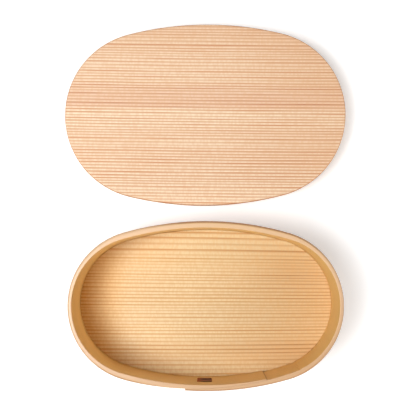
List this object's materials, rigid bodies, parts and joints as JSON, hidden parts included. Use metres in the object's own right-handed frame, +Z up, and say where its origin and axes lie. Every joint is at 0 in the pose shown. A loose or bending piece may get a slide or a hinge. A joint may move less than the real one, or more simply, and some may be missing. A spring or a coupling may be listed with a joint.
{
  "type": "bentwood bento box",
  "caption": "Oval bentwood lunch box with a loose lid lying beside it: bent cedar walls with planed, lapped ends laced with cherry bark, and straight-grained boards as bottom and lid.",
  "frame": {"origin": "middle of the box's underside, on the surface that it stands on", "axes": "+X along the box's length, +Y across the box towards the lid lying beside it, +Z up"},
  "size_m": [0.1988, 0.2561, 0.046],
  "materials": {
    "bent_cedar": "bare cedar, bent, sanded smooth",
    "bottom_cedar": "bare straight-grained cedar, planed smooth",
    "lid_cedar": "bare straight-grained cedar, planed smooth",
    "cherry_bark": "dark cherry bark with a slight sheen"
  },
  "bodies": {
    "box": {"box_strip": "bent_cedar", "bottom_board": "bottom_cedar", "box_lacing": "cherry_bark"},
    "lid": {"lid_strip": "bent_cedar", "lid_board": "lid_cedar", "lid_lacing": "cherry_bark"}
  },
  "joints": [
    {"name": "lid_lift", "type": "slide", "parent": "box", "child": "lid", "axis": [0, 0, 1], "range_m": [0, 0.1]}
  ]
}
